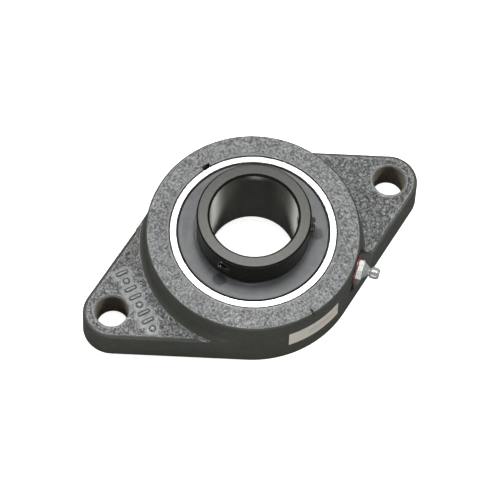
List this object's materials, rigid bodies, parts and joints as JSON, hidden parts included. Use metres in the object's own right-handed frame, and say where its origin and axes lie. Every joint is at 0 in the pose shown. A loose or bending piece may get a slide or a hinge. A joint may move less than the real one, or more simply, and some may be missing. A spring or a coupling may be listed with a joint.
{
  "type": "flange mount bearing",
  "caption": "Diamond-shaped cast flange with two bolt holes, holding a self-aligning ball bearing insert whose collar locks to a round shaft with set screws.",
  "frame": {"origin": "where the bearing axis meets the mounting face, midway between the two bolt holes", "axes": "+Z along the bearing axis, away from the mounting face; +X along the line of the bolt holes; the grease fitting is 44 degrees from +X towards -Y"},
  "size_m": [0.2192, 0.1278, 0.0618],
  "materials": {
    "housing_casting": "oiled dark grey cast skin, orange-peel texture",
    "ring_steel": "bright ground steel",
    "black_steel": "black oxide, end face ground grey",
    "pin_steel": "hardened dowel steel",
    "screw_steel": "black oxide",
    "cage_steel": "pressed steel sheet",
    "rivet_steel": "headed steel rivets",
    "ball_steel": "polished bearing steel",
    "seal_rubber": "moulded nitrile rubber",
    "flinger_steel": "satin pressed sheet",
    "fitting_plate": "bright zinc plate",
    "red_washer": "dark red sealing ring",
    "spring_steel": "music wire",
    "label_foil": "plain matt foil"
  },
  "bodies": {
    "housing": {"housing": "housing_casting", "grease_fitting": "fitting_plate", "fitting_washer": "red_washer", "fitting_spring": "spring_steel", "label": "label_foil"},
    "locking_pin": {"locking_pin": "pin_steel"},
    "outer_ring": {"outer_ring": "ring_steel", "front_seal": "seal_rubber", "rear_seal": "seal_rubber"},
    "inner_ring": {"inner_ring": "black_steel", "front_flinger": "flinger_steel", "rear_flinger": "flinger_steel"},
    "cage": {"cage_front": "cage_steel", "cage_rear": "cage_steel", "cage_rivets": "rivet_steel"},
    "set_screw_1": {"set_screw_1": "screw_steel"},
    "set_screw_2": {"set_screw_2": "screw_steel"},
    "check_ball": {"check_ball": "ball_steel"},
    "ball_01": {"ball_01": "ball_steel"},
    "ball_02": {"ball_02": "ball_steel"},
    "ball_03": {"ball_03": "ball_steel"},
    "ball_04": {"ball_04": "ball_steel"},
    "ball_05": {"ball_05": "ball_steel"},
    "ball_06": {"ball_06": "ball_steel"},
    "ball_07": {"ball_07": "ball_steel"},
    "ball_08": {"ball_08": "ball_steel"},
    "ball_09": {"ball_09": "ball_steel"},
    "ball_10": {"ball_10": "ball_steel"}
  },
  "joints": [
    {"name": "align_swing", "type": "hinge", "parent": "housing", "child": "locking_pin", "pos_m": [0, 0, 0.0284], "axis": [-0.9947, -0.1028, 0], "range_deg": [-2, 2]},
    {"name": "align_twist", "type": "hinge", "parent": "locking_pin", "child": "outer_ring", "pos_m": [0, 0, 0.0284], "axis": [-0.1028, 0.9947, 0], "range_deg": [-2, 2]},
    {"name": "inner_spin", "type": "hinge", "parent": "outer_ring", "child": "inner_ring", "pos_m": [0, 0, 0.0284], "axis": [0, 0, 1], "continuous": true},
    {"name": "cage_spin", "type": "hinge", "parent": "outer_ring", "child": "cage", "pos_m": [0, 0, 0.0284], "axis": [0, 0, 1], "continuous": true},
    {"name": "ball_01_spin", "type": "hinge", "parent": "cage", "child": "ball_01", "pos_m": [0.03875, 0, 0.0284], "axis": [0, 0, 1], "continuous": true},
    {"name": "ball_02_spin", "type": "hinge", "parent": "cage", "child": "ball_02", "pos_m": [0.03135, 0.02278, 0.0284], "axis": [0, 0, 1], "continuous": true},
    {"name": "ball_03_spin", "type": "hinge", "parent": "cage", "child": "ball_03", "pos_m": [0.01197, 0.03685, 0.0284], "axis": [0, 0, 1], "continuous": true},
    {"name": "ball_04_spin", "type": "hinge", "parent": "cage", "child": "ball_04", "pos_m": [-0.01197, 0.03685, 0.0284], "axis": [0, 0, 1], "continuous": true},
    {"name": "ball_05_spin", "type": "hinge", "parent": "cage", "child": "ball_05", "pos_m": [-0.03135, 0.02278, 0.0284], "axis": [0, 0, 1], "continuous": true},
    {"name": "ball_06_spin", "type": "hinge", "parent": "cage", "child": "ball_06", "pos_m": [-0.03875, 0, 0.0284], "axis": [0, 0, 1], "continuous": true},
    {"name": "ball_07_spin", "type": "hinge", "parent": "cage", "child": "ball_07", "pos_m": [-0.03135, -0.02278, 0.0284], "axis": [0, 0, 1], "continuous": true},
    {"name": "ball_08_spin", "type": "hinge", "parent": "cage", "child": "ball_08", "pos_m": [-0.01197, -0.03685, 0.0284], "axis": [0, 0, 1], "continuous": true},
    {"name": "ball_09_spin", "type": "hinge", "parent": "cage", "child": "ball_09", "pos_m": [0.01197, -0.03685, 0.0284], "axis": [0, 0, 1], "continuous": true},
    {"name": "ball_10_spin", "type": "hinge", "parent": "cage", "child": "ball_10", "pos_m": [0.03135, -0.02278, 0.0284], "axis": [0, 0, 1], "continuous": true},
    {"name": "set_screw_1_travel", "type": "slide", "parent": "inner_ring", "child": "set_screw_1", "axis": [0.866, -0.5, 0], "range_m": [-0.0024, 0.003]},
    {"name": "set_screw_2_travel", "type": "slide", "parent": "inner_ring", "child": "set_screw_2", "axis": [-0.866, -0.5, 0], "range_m": [0, 0.003]},
    {"name": "check_ball_lift", "type": "slide", "parent": "housing", "child": "check_ball", "axis": [-0.7193, 0.6947, 0], "range_m": [0, 0.0012], "stiffness_N_per_m": 300, "springref_m": -0.002, "deforming": ["fitting_spring"]}
  ],
  "couplings": [
    {"joint": "cage_spin", "follows": "inner_spin", "ratio": 0.40782},
    {"joint": "ball_01_spin", "follows": "inner_spin", "ratio": -2.6199},
    {"joint": "ball_02_spin", "follows": "inner_spin", "ratio": -2.6199},
    {"joint": "ball_03_spin", "follows": "inner_spin", "ratio": -2.6199},
    {"joint": "ball_04_spin", "follows": "inner_spin", "ratio": -2.6199},
    {"joint": "ball_05_spin", "follows": "inner_spin", "ratio": -2.6199},
    {"joint": "ball_06_spin", "follows": "inner_spin", "ratio": -2.6199},
    {"joint": "ball_07_spin", "follows": "inner_spin", "ratio": -2.6199},
    {"joint": "ball_08_spin", "follows": "inner_spin", "ratio": -2.6199},
    {"joint": "ball_09_spin", "follows": "inner_spin", "ratio": -2.6199},
    {"joint": "ball_10_spin", "follows": "inner_spin", "ratio": -2.6199}
  ]
}
